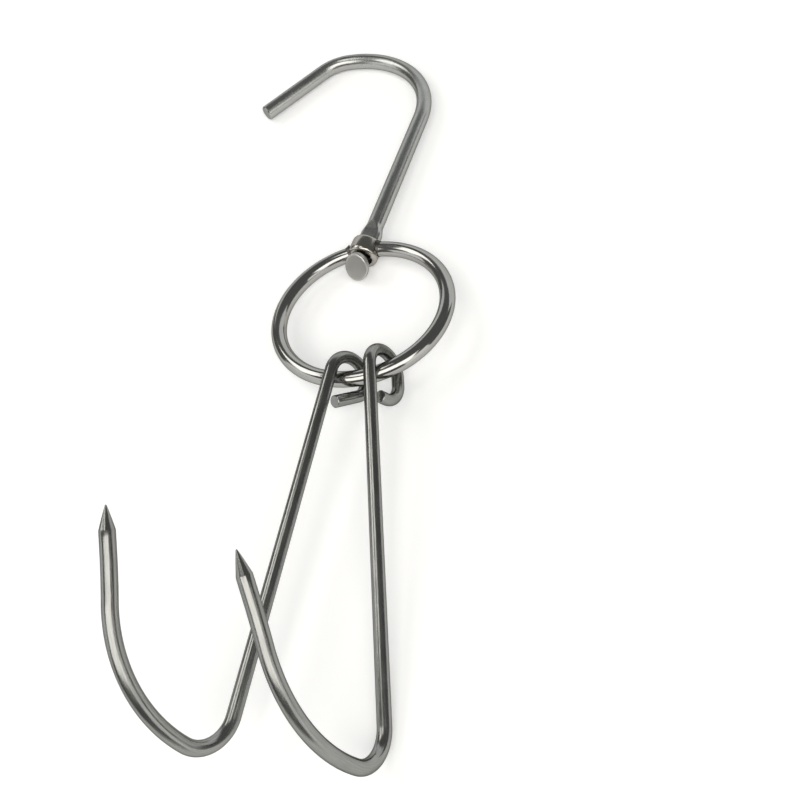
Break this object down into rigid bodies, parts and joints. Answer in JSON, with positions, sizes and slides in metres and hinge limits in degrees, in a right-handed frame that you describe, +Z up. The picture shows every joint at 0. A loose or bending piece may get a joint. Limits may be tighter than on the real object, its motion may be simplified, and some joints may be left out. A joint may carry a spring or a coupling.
{
  "type": "double meat hook with swivel",
  "caption": "Wire rail hook that swivels on a closed ring carrying a pair of pointed meat hooks by their eyes.",
  "frame": {"origin": "centre of the bounding box in plan, on the table that the object lies on", "axes": "+Z up from the table, +Y from the meat hooks' bends towards the rail hook's bend, +X to the side away from the meat hooks' points"},
  "size_m": [0.125, 0.2382, 0.0488],
  "materials": {
    "rail_hook_steel": "satin stainless round wire, faint lengthwise drawing marks",
    "ring_steel": "polished stainless round wire",
    "collar_steel": "polished stainless, slightly tumbled",
    "meat_hook_steel": "polished stainless wire with ground conical points"
  },
  "bodies": {
    "rail": {"rail_hook": "rail_hook_steel"},
    "ring": {"ring": "ring_steel", "swivel_collar": "collar_steel"},
    "left_hook": {"left_meat_hook": "meat_hook_steel"},
    "right_hook": {"right_meat_hook": "meat_hook_steel"}
  },
  "joints": [
    {"name": "ring_swivel", "type": "hinge", "parent": "rail", "child": "ring", "pos_m": [0.01835, 0.02079, 0.00465], "axis": [0.5905, 0.8068, -0.0209], "continuous": true},
    {"name": "left_hook_swing", "type": "hinge", "parent": "ring", "child": "left_hook", "pos_m": [0.00033, -0.02553, 0.00952], "axis": [0.9135, -0.4045, 0.0425], "range_deg": [-45, 45]},
    {"name": "right_hook_swing", "type": "hinge", "parent": "ring", "child": "right_hook", "pos_m": [0.01015, -0.02767, 0.00974], "axis": [0.9999, -0.0139, 0.0015], "range_deg": [-45, 60]}
  ]
}
